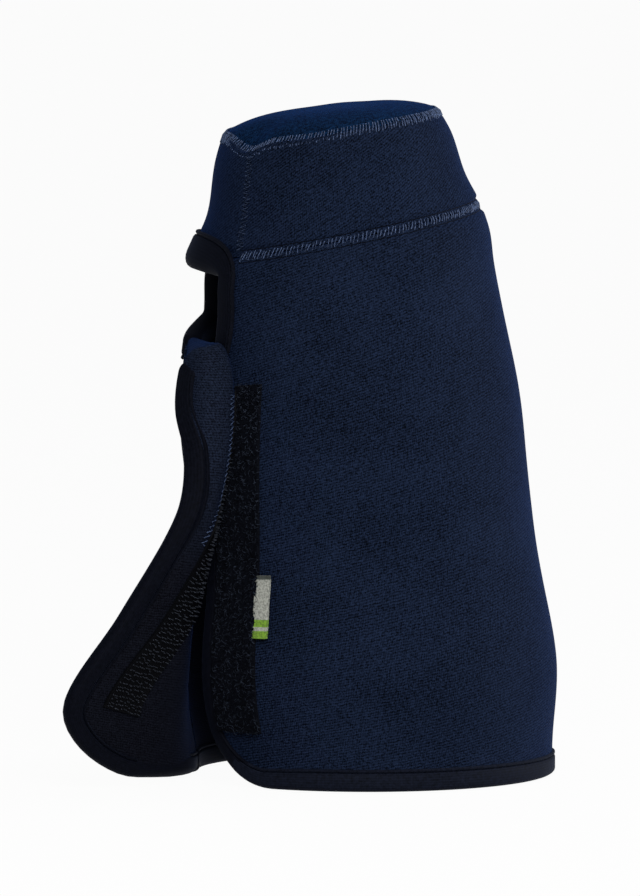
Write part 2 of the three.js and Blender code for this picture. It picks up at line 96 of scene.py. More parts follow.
# Soft forms of the cloth: how deep or high, then how far they reach in degrees or in mm
WINDOW_FLARE, FLARE_ANGLE, FLARE_REACH = 3.0, 20.0, 8.0
SIDE_DENT, DENT_ANGLE, DENT_REACH = 2.2, 22.0, 14.0
DENT_MIDDLE, DENT_HEIGHT = 180.0, 107.0
NECK_PUFF, PUFF_BELOW, PUFF_REACH = 0.9, 10.0, 7.0
RIM_SAG, SAG_ASIDE, SAG_ANGLE = 1.8, 25.0, 34.0
RIM_DIP, DIP_ASIDE, DIP_ANGLE = 3.8, -5.0, 13.0
NECK_PINCH, NECK_PINCH_REACH = 1.3, 2.0
GROOVE_PINCH, GROOVE_REACH, NECK_GROOVE = 0.6, 0.8, 2.0
CROWN_PINCH, CROWN_PINCH_REACH = 0.6, 1.6
CROWN_EDGE_LIFT = 0.85
HOOD_DROP = 3.0
HEM_WIDENS, HEM_LIP = (226.0, 258.0), 6.0
STRAP_WIDENS = (80.0, 105.0)

# Edge tape: the thickness of its wall, the room inside its fold and the rounding of its ends
TAPE_WALL, TAPE_NOSE = 0.9, 1.0
END_ROUND = 4.0

# Middle radius that turns angles into lengths on the cloth
BODY_MEAN_RADIUS, COLLAR_MEAN_RADIUS = 62, 44


# Shape of the filled pouch


def through_stations(stations):
    """Smooth curve through (place, value) stations, held flat outside them."""
    x = np.array([s[0] for s in stations], float)
    y = np.array([s[1] for s in stations], float)
    before = np.maximum(np.arange(len(x)) - 1, 0)
    after = np.minimum(np.arange(len(x)) + 1, len(x) - 1)
    slope = (y[after] - y[before]) / (x[after] - x[before])

    def value(place):
        i = np.clip(np.searchsorted(x, place) - 1, 0, len(x) - 2)
        span = x[i + 1] - x[i]
        t = np.clip((place - x[i]) / span, 0, 1)
        rise = t * t * (3 - 2 * t)
        leave = t * (1 - t) ** 2 * span * slope[i]
        arrive = t * t * (t - 1) * span * slope[i + 1]
        return y[i] + (y[i + 1] - y[i]) * rise + leave + arrive

    return value


body_radius = through_stations(
    [(HEM_BAND, HEM_RADIUS), BELLY, WAIST, SHOULDER, (NECK_HEIGHT, NECK_RADIUS)]
)


def smooth(value, low, high):
    t = np.clip((value - low) / (high - low), 0, 1)
    return t * t * (3 - 2 * t)


def collar_share(height):
    return (height - NECK_HEIGHT) / (CROWN_HEIGHT - NECK_HEIGHT)


collar_radius = through_stations(
    [
        (NECK_HEIGHT, NECK_RADIUS),
        (NECK_HEIGHT + (CROWN_HEIGHT - NECK_HEIGHT) / 3, COLLAR_RADIUS),
        (NECK_HEIGHT + (CROWN_HEIGHT - NECK_HEIGHT) * 3 / 4, BRIM_RADIUS),
        (CROWN_HEIGHT, CROWN_RADIUS),
    ]
)


def along_axis(height, at_neck, at_crown):
    body = np.maximum(height - HEM_BAND, 0) / (NECK_HEIGHT - HEM_BAND)
    below = at_neck * body
    above = at_neck + (at_crown - at_neck) * collar_share(height)
    return np.where(height <= NECK_HEIGHT, below, above)


def ring_place(across, deep, height):
    """Point at (across, deep) in the plane of the tilted ring at that height."""
    across, deep, height = np.broadcast_arrays(across, deep, np.asarray(height, float))
    turn = np.radians(along_axis(height, NECK_TILT, CROWN_TILT))
    x = along_axis(height, NECK_LEAN, CROWN_LEAN) + across * np.cos(turn)
    return np.stack([x, deep, height + across * np.sin(turn)], axis=-1)


def on_ring(angle, height, radius):
    angle = np.radians(angle)
    return ring_place(radius * np.cos(angle), radius * np.sin(angle), height)


def angle_for(length, height):
    return np.degrees(length / body_radius(height))


def corner_inset(rise, radius):
    left = np.clip(radius - rise, 0, radius)
    return radius - np.sqrt(radius * radius - left * left)


window_spring = NECK_HEIGHT - WINDOW_DROP
window_middle = (WINDOW_RIGHT + WINDOW_LEFT) / 2
window_half = (WINDOW_RIGHT - WINDOW_LEFT) / 2


def arch_share(height):
    rise = np.clip((height - window_spring) / WINDOW_RISE, 0, 1)
    return np.sqrt(1 - rise * rise)


def slit_right_angle(height):
    taper = smooth(height, WINDOW_SILL - WINDOW_TAPER, window_spring)
    straight = SLIT_RIGHT + (WINDOW_RIGHT - SLIT_RIGHT) * taper
    arch = window_half * (1 - arch_share(height))
    return straight - arch + angle_for(corner_inset(height - HEM_EDGE, SLIT_CORNER), height)


def slit_left_angle(height):
    share = smooth(height, WINDOW_SILL, WINDOW_SILL + WINDOW_SILL_ROUND)
    arch = window_half * (1 - arch_share(height))
    return SLIT_LEFT + (WINDOW_LEFT - SLIT_LEFT) * share + arch


def window_flare(angle, height):
    """How far the wall stands out over the top of the window, in mm."""
    aside = ((angle - window_middle + 180) % 360 - 180) / FLARE_ANGLE
    above = (height - window_spring - WINDOW_RISE) / FLARE_REACH
    return WINDOW_FLARE * np.exp(-(aside**2) - above**2)


# Mesh builders


SHARP_EDGE = 50


def new_object(name, points, faces, uv=None):
    mesh = bpy.data.meshes.new(name)
    mesh.from_pydata(((points + AXIS_SHIFT) * MM).tolist(), [], faces)
    mesh.validate()
    if uv is not None:
        layer = mesh.uv_layers.new(name="Cloth")
        corner = np.empty(len(mesh.loops), dtype=np.int32)
        mesh.loops.foreach_get("vertex_index", corner)
        layer.data.foreach_set("uv", np.asarray(uv, float)[corner].ravel())
    mesh.polygons.foreach_set("use_smooth", [True] * len(mesh.polygons))
    mesh.set_sharp_from_angle(angle=math.radians(SHARP_EDGE))
    mesh.update()
    piece = bpy.data.objects.new(name, mesh)
    bpy.context.scene.collection.objects.link(piece)
    return piece


def sheet_faces(rows, columns, looped):
    """Quads of a closed thick sheet: front grid, back grid and the rims between them."""
    half = rows * columns
    faces = []
    span = columns if looped else columns - 1
    for r in range(rows - 1):
        for c in range(span):
            d = (c + 1) % columns
            a, b = r * columns + c, r * columns + d
            e, f = a + columns, b + columns
            faces.append((a, b, f, e))
            faces.append((half + a, half + e, half + f, half + b))
    top = (rows - 1) * columns
    for c in range(span):
        d = (c + 1) % columns
        faces.append((c, half + c, half + d, d))
        faces.append((top + c, top + d, half + top + d, half + top + c))
    if not looped:
        last = columns - 1
        for r in range(rows - 1):
            a, b = r * columns, (r + 1) * columns
            faces.append((a, b, half + b, half + a))
            faces.append((a + last, half + a + last, half + b + last, b + last))
    return faces


def sheet_object(name, front, back, uv, looped=False):
    rows, columns = front.shape[:2]
    points = np.concatenate([front.reshape(-1, 3), back.reshape(-1, 3)])
    both = np.concatenate([uv.reshape(-1, 2), uv.reshape(-1, 2)])
    return new_object(name, points, sheet_faces(rows, columns, looped), both)


def unit(vectors):
    return vectors / np.maximum(np.linalg.norm(vectors, axis=-1, keepdims=True), 1e-9)


def lengths_along(points):
    steps = np.linalg.norm(np.diff(points, axis=0), axis=1)
    return np.concatenate([[0], np.cumsum(steps)])


def resample(points, count, *others):
    """Even spacing along a path; the other arrays follow the same places."""
    along = lengths_along(points)
    place = np.linspace(0, along[-1], count)

    def follow(values):
        return np.stack([np.interp(place, along, values[:, k]) for k in range(3)], axis=1)

    return [follow(points)] + [follow(o) for o in others]


def sweep_object(name, path, out, away, section, lip=1.0, nose=1.0):
    """Closed section of (out, away) pairs along a path; lip and nose stretch its two sides."""
    section = np.asarray(section, float)
    stations, n = len(path), len(section)
    along = lengths_along(path)
    from_end = np.clip(np.minimum(along, along[-1] - along) / END_ROUND, 0, 1)
    full = 0.1 + 0.9 * np.sqrt(1 - (1 - from_end) ** 2)
    inside = section[None, :, 1:2] < 0
    stretch = np.where(inside, np.reshape(lip, (-1, 1, 1)), np.reshape(nose, (-1, 1, 1)))
    middle = section[:, 1].mean()
    sideways = section[None, :, 0:1] * full[:, None, None]
    lengthways = (middle + (section[None, :, 1:2] - middle) * full[:, None, None]) * stretch
    points = (
        path[:, None, :] + out[:, None, :] * sideways + away[:, None, :] * lengthways
    ).reshape(-1, 3)
    faces = []
    for s in range(stations - 1):
        here, after = s * n, (s + 1) * n
        for i in range(n):
            j = (i + 1) % n
            faces.append((here + i, here + j, after + j, after + i))
    faces.append(tuple(range(n - 1, -1, -1)))
    faces.append(tuple(range((stations - 1) * n, stations * n)))
    round_uv = np.concatenate([[0], np.cumsum(np.linalg.norm(np.diff(section, axis=0), axis=1))])
    uv = np.stack(np.meshgrid(round_uv, along), axis=-1).reshape(-1, 2)
    return new_object(name, points, faces, uv)


def tubes_object(name, paths, radius, sides=5):
    """Many round threads as one mesh, each along its own short path."""
    turn = np.linspace(0, 2 * math.pi, sides, endpoint=False)
    points, faces = [], []
    start = 0
    for path in paths:
        heading = unit(np.gradient(path, axis=0))
        side = unit(np.cross(heading, np.array([0.31, 0.17, 0.93])))
        lift = np.cross(side, heading)
        ring = (
            path[:, None, :]
            + radius * np.cos(turn)[None, :, None] * side[:, None, :]
            + radius * np.sin(turn)[None, :, None] * lift[:, None, :]
        )
        points.append(ring.reshape(-1, 3))
        for s in range(len(path) - 1):
            here = start + s * sides
            for i in range(sides):
                j = (i + 1) % sides
                faces.append((here + i, here + j, here + sides + j, here + sides + i))
        faces.append(tuple(start + i for i in range(sides - 1, -1, -1)))
        faces.append(tuple(start + (len(path) - 1) * sides + i for i in range(sides)))
        start += len(path) * sides
    return new_object(name, np.concatenate(points), faces)


# Materials


def linear(red, green, blue):
    def one(v):
        v = v / 255
        return v / 12.92 if v <= 0.04045 else ((v + 0.055) / 1.055) ** 2.4

    return (one(red), one(green), one(blue), 1.0)


class Shader:
    """A principled material with short helpers for its nodes."""

    def __init__(self, name):
        self.material = bpy.data.materials.new(name)
        self.material.use_nodes = True
        self.nodes = self.material.node_tree.nodes
        self.links = self.material.node_tree.links
        self.main = self.nodes["Principled BSDF"]
        self.cloth = self.add("ShaderNodeUVMap")
        self.cloth.uv_map = "Cloth"
        self.place = self.add("ShaderNodeTexCoord").outputs["Object"]

    def add(self, kind, **inputs):
        node = self.nodes.new(kind)
        for key, value in inputs.items():
            node.inputs[key.replace("_", " ")].default_value = value
        return node

    def set(self, **inputs):
        for key, value in inputs.items():
            self.main.inputs[key.replace("_", " ")].default_value = value

    def wave(self, period, turn=0.0, distortion=0.0):
        """Sine lines with a period in mm on the cloth map, turned in degrees."""
        mapping = self.add("ShaderNodeMapping", Rotation=(0, 0, math.radians(turn)))
        self.links.new(self.cloth.outputs["UV"], mapping.inputs["Vector"])
        wave = self.add("ShaderNodeTexWave", Scale=math.pi / (10 * period), Distortion=distortion)
        self.links.new(mapping.outputs["Vector"], wave.inputs["Vector"])
        return wave.outputs["Fac"]

    def noise(self, size, detail):
        """Soft noise with lumps about that many mm across, fixed to the object."""
        noise = self.add("ShaderNodeTexNoise", Scale=1 / (size * MM), Detail=detail)
        self.links.new(self.place, noise.inputs["Vector"])
        return noise.outputs["Fac"]

    def math(self, operation, a, b):
        node = self.nodes.new("ShaderNodeMath")
        node.operation = operation
        for socket, value in zip(node.inputs, (a, b)):
            if isinstance(value, (int, float)):
                socket.default_value = value
            else:
                self.links.new(value, socket)
        return node.outputs[0]

    def ramp(self, factor, *stops):
        node = self.nodes.new("ShaderNodeValToRGB")
        while len(node.color_ramp.elements) < len(stops):
            node.color_ramp.elements.new(0.5)
        for element, (at, colour) in zip(node.color_ramp.elements, stops):
            element.position = at
            element.color = colour
        self.links.new(factor, node.inputs["Fac"])
        return node.outputs["Color"]

    def by_height(self, lower, upper, start, end):
        """One colour that turns into another between two heights in mm."""
        split = self.add("ShaderNodeSeparateXYZ")
        self.links.new(self.place, split.inputs[0])
        share = self.add("ShaderNodeMapRange", From_Min=start * MM, From_Max=end * MM)
        self.links.new(split.outputs["Z"], share.inputs["Value"])
        return self.mixed("MIX", share.outputs["Result"], lower, upper)

    def mixed(self, how, share, first, second):
        node = self.nodes.new("ShaderNodeMixRGB")
        node.blend_type = how
        if isinstance(share, (int, float)):
            node.inputs["Fac"].default_value = share
        else:
            self.links.new(share, node.inputs["Fac"])
        self.links.new(first, node.inputs["Color1"])
        self.links.new(second, node.inputs["Color2"])
        return node.outputs["Color"]

    def bump(self, height, distance, strength, after=None):
        node = self.add("ShaderNodeBump", Strength=strength, Distance=distance * MM)
        self.links.new(height, node.inputs["Height"])
        if after is not None:
            self.links.new(after, node.inputs["Normal"])
        self.links.new(node.outputs["Normal"], self.main.inputs["Normal"])
        return node.outputs["Normal"]

    def colour(self, socket):
        self.links.new(socket, self.main.inputs["Base Color"])

    def roughness(self, socket):
        self.links.new(socket, self.main.inputs["Roughness"])


KNIT_RIB = 0.92


def knit(name, dark, light, sheen, turn=80, grain=0.66, higher=None):
    """Knit-faced neoprene: fine rows of stitches, a cross thread and a lively speckle; when colours for
    higher up are given, the lower colours are painted shade.
    """
    s = Shader(name)
    ribs = s.wave(KNIT_RIB, turn, 3.0)
    cross = s.wave(KNIT_RIB * 0.8, turn - 68, 3.0)
    yarn = s.math("ADD", s.math("MULTIPLY", ribs, 0.65), s.math("MULTIPLY", cross, 0.35))
    speck = s.noise(grain, 3.0)
    cloud = s.noise(26.0, 2.0)
    tone = s.math("ADD", s.math("MULTIPLY", yarn, 0.19), s.math("MULTIPLY", speck, 0.67))
    tone = s.math("ADD", tone, s.math("MULTIPLY", cloud, 0.14))
    shade = s.ramp(tone, (0.37, linear(*dark)), (0.65, linear(*light)))
    # Painted shade: the base colours stand in for shade low down, the colours for higher up are the
    # cloth's own
    if higher:
        upper = s.ramp(tone, (0.37, linear(*higher[0])), (0.65, linear(*higher[1])))
        shade = s.by_height(shade, upper, *PAINTED_SHADE_HEIGHTS)
    s.colour(shade)
    s.roughness(s.math("ADD", 0.72, s.math("MULTIPLY", speck, 0.2)))
    first = s.bump(yarn, 0.1, 0.55)
    s.bump(speck, 0.14, 0.5, after=first)
    s.set(Sheen_Weight=sheen, Sheen_Roughness=0.45, Sheen_Tint=linear(50, 125, 255))
    s.set(Specular_IOR_Level=0.02)
    return s.material


def binding_tape(name, dark, light):
    """Elastic edge tape: ribs along its length and fine cross threads."""
    s = Shader(name)
    ribs = s.wave(0.75, 0)
    cross = s.wave(0.55, 90, 0.5)
    yarn = s.math("ADD", s.math("MULTIPLY", ribs, 0.6), s.math("MULTIPLY", cross, 0.4))
    speck = s.noise(1.1, 2.0)
    tone = s.math("ADD", s.math("MULTIPLY", yarn, 0.25), s.math("MULTIPLY", speck, 0.75))
    s.colour(s.ramp(tone, (0.25, linear(*dark)), (0.8, linear(*light))))
    s.roughness(s.math("ADD", 0.6, s.math("MULTIPLY", speck, 0.25)))
    s.bump(yarn, 0.05, 0.3)
    s.set(Sheen_Weight=0.05, Sheen_Roughness=0.4, Sheen_Tint=linear(120, 140, 190))
    s.set(Specular_IOR_Level=0.03)
    return s.material


def pile(name, dark, light):
    """Brushed loop pile: tangled fine fibres with no direction."""
    s = Shader(name)
    fuzz = s.noise(0.9, 5.0)
    clump = s.noise(3.2, 2.0)
    tone = s.math("ADD", s.math("MULTIPLY", fuzz, 0.7), s.math("MULTIPLY", clump, 0.3))
    s.colour(s.ramp(tone, (0.35, linear(*dark)), (0.7, linear(*light))))
    s.bump(tone, 0.6, 0.9)
    s.set(Roughness=0.95, Sheen_Weight=0.08, Sheen_Roughness=0.6, Specular_IOR_Level=0.02)
    s.set(Sheen_Tint=linear(90, 95, 110))
    return s.material


def moulded(name, dark, light):
    """Woven hook tape ground and its nylon hooks."""
    s = Shader(name)
    weave = s.wave(0.8, 0)
    speck = s.noise(0.6, 2.0)
    tone = s.math("ADD", s.math("MULTIPLY", weave, 0.5), s.math("MULTIPLY", speck, 0.5))
    s.colour(s.ramp(tone, (0.25, linear(*dark)), (0.8, linear(*light))))
    s.roughness(s.math("ADD", 0.5, s.math("MULTIPLY", speck, 0.3)))
    s.bump(weave, 0.15, 0.5)
    s.set(Specular_IOR_Level=0.03)
    return s.material


def sewing_thread(name, dark, light):
    s = Shader(name)
    ply = s.noise(0.8, 2.0)
    s.colour(s.ramp(ply, (0.3, linear(*dark)), (0.75, linear(*light))))
    s.roughness(s.math("ADD", 0.45, s.math("MULTIPLY", ply, 0.3)))
    s.bump(ply, 0.1, 0.5)
    s.set(Sheen_Weight=0.04, Sheen_Roughness=0.3, Sheen_Tint=linear(120, 150, 220))
    s.set(Specular_IOR_Level=0.1)
    return s.material


def striped_ribbon(name):
    """Pale woven ribbon with plain green stripes across its foot."""
    s = Shader(name)
    split = s.add("ShaderNodeSeparateXYZ")
    s.links.new(s.cloth.outputs["UV"], split.inputs[0])
    stripes = s.ramp(
        s.math("DIVIDE", split.outputs["Y"], TAB_HEIGHT),
        (0.0, linear(118, 160, 40)),
        (0.12, linear(168, 171, 160)),
        (0.18, linear(118, 160, 40)),
        (0.3, linear(172, 174, 165)),
        (0.94, linear(60, 66, 60)),
    )
    stripes.node.color_ramp.interpolation = "CONSTANT"
    fleck = s.ramp(s.noise(0.7, 3.0), (0.35, (0.45, 0.45, 0.45, 1)), (0.65, (1, 1, 1, 1)))
    s.colour(s.mixed("MULTIPLY", 1.0, stripes, fleck))
    warp = s.wave(0.42, 0)
    weft = s.wave(0.36, 90)
    weave = s.math("MULTIPLY", warp, weft)
    s.bump(weave, 0.12, 0.6)
    s.roughness(s.math("ADD", 0.55, s.math("MULTIPLY", weave, 0.3)))
    s.set(Sheen_Weight=0.2, Sheen_Roughness=0.4)
    return s.material


# The lining is painted nearly black as shade below these heights, and turns to its own navy between them
PAINTED_SHADE_HEIGHTS = (75, 115)
NAVY = knit("navy_neoprene", (2, 4, 10), (25, 35, 56), 0.05)
COLLAR_NAVY = knit("collar_neoprene", (2, 4, 10), (24, 34, 55), 0.05, turn=64)
# Painted reflection: this copy of the navy is bluer to stand in for the blue sheen the top light gives
# the upward crown; the navy under it is the cloth's own
CROWN_NAVY_PAINTED_SHEEN = knit("crown_neoprene_painted_sheen", (1, 3, 9), (10, 34, 63), 0.06, grain=1.1)
LINING = knit("lining_painted_shade_below", (4, 4, 7), (18, 20, 28), 0.02, higher=((5, 7, 14), (26, 33, 49)))
TAPE = binding_tape("edge_tape", (2, 3, 7), (11, 13, 22))
# Painted light: a lighter copy of the edge tape for the hem, which catches light from below and in front
HEM_TAPE_PAINTED_LIGHT = binding_tape("hem_tape_painted_light", (6, 8, 14), (22, 26, 39))
LOOP = pile("loop_pile", (2, 3, 6), (10, 12, 19))
# Painted glint: the pale fibre colour stands in for glints of the nylon loops
FUZZ_GLINT = pile("loop_fuzz_glint", (9, 11, 17), (52, 59, 73))
HOOK = moulded("hook_tape", (2, 2, 4), (8, 9, 12))
# Painted highlight: the hooks' pale colour stands in for the light they catch
HOOK_TIPS_PAINTED_HIGHLIGHT = moulded("hook_tips_painted_highlight", (34, 37, 44), (106, 112, 126))
THREAD = sewing_thread("pale_thread", (14, 21, 36), (79, 95, 128))
RIBBON = striped_ribbon("tab_ribbon")


def dress(piece, material, body="pouch", nodes=()):
    piece.data.materials.append(material)
    if body:
        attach(piece, body)
    if nodes:
        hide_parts(*nodes)
    return piece


# Body, collar and crown


def slack(angle, height):
    """Small soft unevenness of the wall, in mm."""
    turn = np.radians(angle)
    slow = np.sin(3 * turn + 0.045 * height + 0.6) * np.sin(0.033 * height + 2 * turn)
    quick = np.sin(7 * turn - 0.08 * height) * np.sin(0.061 * height + 1.1)
    return 0.5 * slow + 0.22 * quick


def seam_pinch(height, at, depth, reach):
    return -depth * np.exp(-(((height - at) / reach) ** 2))


def line_inside(piece, rows, columns):
    """Gives the back faces of a thick sheet the lining; columns counts its cells across."""
    piece.data.materials.append(LINING)
    for i in range((rows - 1) * columns):
        piece.data.polygons[2 * i + 1].material_index = 1


def side_dent(angle, height):
    """How far the wall is pulled in beside the strap, in mm."""
    aside = (angle % 360 - DENT_MIDDLE) / DENT_ANGLE
    above = (height - DENT_HEIGHT) / DENT_REACH
    return SIDE_DENT * np.exp(-(aside**2) - above**2)


def body_full(angle, height):
    """Radius of the body's wall away from its seams, filled and uneven."""
    puff = NECK_PUFF * np.exp(-(((height - NECK_HEIGHT + PUFF_BELOW) / PUFF_REACH) ** 2))
    calm = smooth(height, HEM_BAND, HEM_BAND + 14)
    soft = calm * slack(angle, height) - side_dent(angle, height)
    return body_radius(height) + puff + window_flare(angle, height) + soft


def neck_pinch(height, groove):
    """The dip at the neck seam and the fine groove beside its stitches, in mm."""
    dip = seam_pinch(height, NECK_HEIGHT, NECK_PINCH, NECK_PINCH_REACH)
    return dip + seam_pinch(height, NECK_HEIGHT + groove, GROOVE_PINCH, GROOVE_REACH)


def body_surface(angle, height):
    return body_full(angle, height) + neck_pinch(height, -NECK_GROOVE)


def body_heights():
    corner = HEM_EDGE + SLIT_CORNER * (1 - np.cos(np.linspace(0, math.pi / 2, 14)))
    side = np.linspace(corner[-1], window_spring, 92)[1:]
    turn = np.linspace(0, math.asin((WINDOW_DROP - 0.2) / WINDOW_RISE), 20)[1:]
    return np.concatenate([corner, side, window_spring + WINDOW_RISE * np.sin(turn)])


def make_body():
    height = body_heights()[:, None]
    share = np.linspace(0, 1, 220)[None, :]
    right = slit_right_angle(height)
    angle = right + (360 + slit_left_angle(height) - right) * share
    height = np.broadcast_to(height, angle.shape)
    outer = on_ring(angle, height, body_surface(angle, height))
    inner = on_ring(angle, height, body_surface(angle, height) - NEOPRENE)
    uv = np.stack([np.radians(angle) * BODY_MEAN_RADIUS, height], axis=-1)
    piece = sheet_object("body_shell", outer, inner, uv)
    dress(piece, NAVY, nodes=["body_panel"])
    line_inside(piece, len(outer), outer.shape[1] - 1)


def collar_foot(angle):
    away = np.abs((angle - window_middle + 180) % 360 - 180) / window_half
    arch = window_spring + WINDOW_RISE * np.sqrt(np.clip(1 - away * away, 0, 1))
    return np.maximum(NECK_HEIGHT + 0.2, arch)


def collar_surface(angle, height):
    pinch = neck_pinch(height, NECK_GROOVE)
    pinch = pinch + seam_pinch(height, CROWN_HEIGHT, CROWN_PINCH, CROWN_PINCH_REACH)
    return collar_radius(height) + window_flare(angle, height) + pinch + 0.5 * slack(angle, height)


def collar_angles():
    edge = math.asin((WINDOW_DROP + 0.2) / WINDOW_RISE)
    arch = window_middle - window_half * np.cos(np.linspace(edge, math.pi - edge, 40))
    rest = np.linspace(arch[-1], 360 + arch[0], 190)[1:-1]
    return np.concatenate([arch, rest])


def rim_sag(angle):
    """Drop of the rim between collar and crown as a negative height in mm, deepest by the seam."""
    aside = angle - COLLAR_SEAM_ANGLE
    sag = RIM_SAG * np.exp(-(((aside - SAG_ASIDE) / SAG_ANGLE) ** 2))
    dip = RIM_DIP * np.exp(-(((aside - DIP_ASIDE) / DIP_ANGLE) ** 2))
    return -sag - dip


def make_collar():
    angle = collar_angles()[None, :]
    share = np.concatenate([np.linspace(0, 0.13, 12), np.linspace(0.13, 1, 24)[1:]])[:, None]
    foot = collar_foot(angle)
    height = foot + (CROWN_HEIGHT - 0.6 - foot) * share + rim_sag(angle) * share**2
    angle = np.broadcast_to(angle, height.shape)
    outer = on_ring(angle, height, collar_surface(angle, height))
    inner = on_ring(angle, height, collar_surface(angle, height) - NEOPRENE)
    uv = np.stack([np.radians(angle) * COLLAR_MEAN_RADIUS, height], axis=-1)
    piece = sheet_object("collar_shell", outer, inner, uv, looped=True)
    dress(piece, COLLAR_NAVY, nodes=["collar_panel"])
    line_inside(piece, *outer.shape[:2])


def crown_place(radius, angle, lift):
    turn = math.radians(CROWN_TILT)
    up = np.array([-math.sin(turn), 0, math.cos(turn)])
    return on_ring(angle, CROWN_HEIGHT, radius) + np.asarray(lift)[..., None] * up


def make_crown():
    angle = np.linspace(0, 360, 140, endpoint=False)[None, :]
    radius = CROWN_RADIUS * np.sin(np.linspace(0.0005, math.pi / 2, 24))[:, None]
    share = radius / CROWN_RADIUS
    dome = CROWN_DOME * (1 - share**CROWN_FULLNESS) + 0.5 * share * slack(angle, 40 * share)
    edge = -1.0 * np.exp(-(((share - 1) / 0.035) ** 2))
    radius, lift = np.broadcast_arrays(radius, dome + edge + rim_sag(angle) * share**4)
    turn = np.broadcast_to(angle, lift.shape)
    top = crown_place(radius, turn, lift)
    under = crown_place(radius, turn, lift - CROWN_THICKNESS)
    flat = np.radians(turn)
    uv = np.stack([radius * np.cos(flat), radius * np.sin(flat)], axis=-1)
    piece = sheet_object("crown_disc", top, under, uv, looped=True)
    dress(piece, CROWN_NAVY_PAINTED_SHEEN, nodes=["crown_panel"])


# Cover stitches along the seams

NECK_STITCHES, CROWN_STITCHES, COLLAR_STITCHES = 175, 205, 44
NECK_STITCH_REACH, CROWN_STITCH_REACH = 1.45, 1.9
COLLAR_STITCH_SWING = 2.2


def slanted_strokes(count, place):
    """Short threads side by side; place(along 0..1, side -1..1) gives the points of each."""
    strokes = []
    for i in range(count):
        slip, reach = rng.uniform(-0.28, 0.28, 2), rng.uniform(0.6, 1.1, 2)
        foot, head = i + 0.1 + slip[0], i + 0.75 + slip[1]
        ends = [(foot, -reach[0]), ((foot + head) / 2, 0.0), (head, reach[1])]
        strokes.append(np.array([place(along / count, side) for along, side in ends]))
    return strokes


def make_neck_stitches():
    start, stop = COLLAR_SEAM_ANGLE + 0.5, 360 + WINDOW_LEFT - 12

    def place(along, side):
        angle = start + (stop - start) * along
        height = NECK_HEIGHT + NECK_STITCH_REACH * side
        surface = body_surface if side < 0 else collar_surface
        stand = 0.55 if side == 0 else 0.1
        return on_ring(angle, height, float(surface(angle, np.array(height))) + stand)

    strokes = slanted_strokes(NECK_STITCHES, place)
    dress(tubes_object("neck_stitches", strokes, 0.18), THREAD, nodes=["neck_seam"])
    make_neck_shadow_lines(np.linspace(start, stop, 240))


def make_neck_shadow_lines(angle):
    """Painted shadow: dark tubes in the groove on each side of the neck's stitches, standing in for the
    shade in the creases.
    """
    lines = []
    for surface, side in ((body_surface, -NECK_GROOVE), (collar_surface, NECK_GROOVE)):
        height = np.full(angle.shape, NECK_HEIGHT + side)
        lines.append(on_ring(angle, height, surface(angle, height)))
    dress(tubes_object("neck_seam_shadow_lines", lines, 0.17), TAPE)


def make_crown_stitches():
    """Threads that go from the collar over the crown's rim, all the way round."""

    def place(along, side):
        angle = 360 * along
        sag = rim_sag(angle)
        if side < 0:
            height = CROWN_HEIGHT - 0.6 + sag + CROWN_STITCH_REACH * side
            return on_ring(angle, height, float(collar_surface(angle, np.array(height))) + 0.1)
        if side == 0:
            return on_ring(angle, CROWN_HEIGHT - 0.5 + sag, CROWN_RADIUS + 0.3)
        return crown_place(CROWN_RADIUS - 1.2, angle, np.array(CROWN_EDGE_LIFT + sag))

    strokes = slanted_strokes(CROWN_STITCHES, place)
    dress(tubes_object("crown_stitches", strokes, 0.19), THREAD, nodes=["crown_seam"])


def make_collar_stitches():
    """One thread that steps from side to side up the collar's seam."""
    foot = NECK_HEIGHT + 2.5
    length = CROWN_HEIGHT + rim_sag(COLLAR_SEAM_ANGLE) - 1.5 - foot
    points = []
    for i in range(COLLAR_STITCHES):
        height = foot + length * (i + rng.uniform(-0.2, 0.2)) / COLLAR_STITCHES
        swing = COLLAR_STITCH_SWING if i % 2 else -COLLAR_STITCH_SWING
        angle = COLLAR_SEAM_ANGLE + swing * rng.uniform(0.7, 1.1)
        points.append(on_ring(angle, height, float(collar_surface(angle, np.array(height))) + 0.2))
    path = np.array(points)
    dress(tubes_object("collar_stitches", [path], 0.25), THREAD, nodes=["collar_seam"])


# Folded edge tape


def tape_section(thickness, depth):
    """Tape folded round an edge, as (out, away) pairs: a round fold, a groove and a roll."""
    half = thickness / 2 + 0.1
    outer, tip = half + TAPE_WALL, TAPE_NOSE + TAPE_WALL
    turn = np.linspace(0, math.pi, 11)
    fold = [(outer * math.cos(a), tip * math.sin(a)) for a in turn]
    inside = [(half * math.cos(a), TAPE_NOSE * math.sin(a)) for a in turn[::-1]]
    steps = [(0.99, 0.4), (0.94, 0.95), (0.87, 0.95), (0.83, 0.6), (0.79, 0.0), (0.74, 0.7), (0.64, 1.0)]
    lip = [(half + TAPE_WALL * rise, -depth * share) for share, rise in steps]
    back = [(-out, away) for out, away in lip[::-1]]
    return lip + fold + back + [(-half, -depth)] + inside + [(half, -depth)]


def edge_frames(path, out):
    heading = unit(np.gradient(path, axis=0))
    away = unit(np.cross(heading, out))
    return unit(np.cross(away, heading)), away


def wall_middle(angle, height):
    """Point half way through the wall of the body or collar."""
    collar = collar_radius(height) + window_flare(angle, height) + 0.5 * slack(angle, height)
    share = smooth(height, NECK_HEIGHT - 3, NECK_HEIGHT + 3)
    radius = body_full(angle, height) * (1 - share) + collar * share
    return on_ring(angle, height, radius - NEOPRENE / 2)


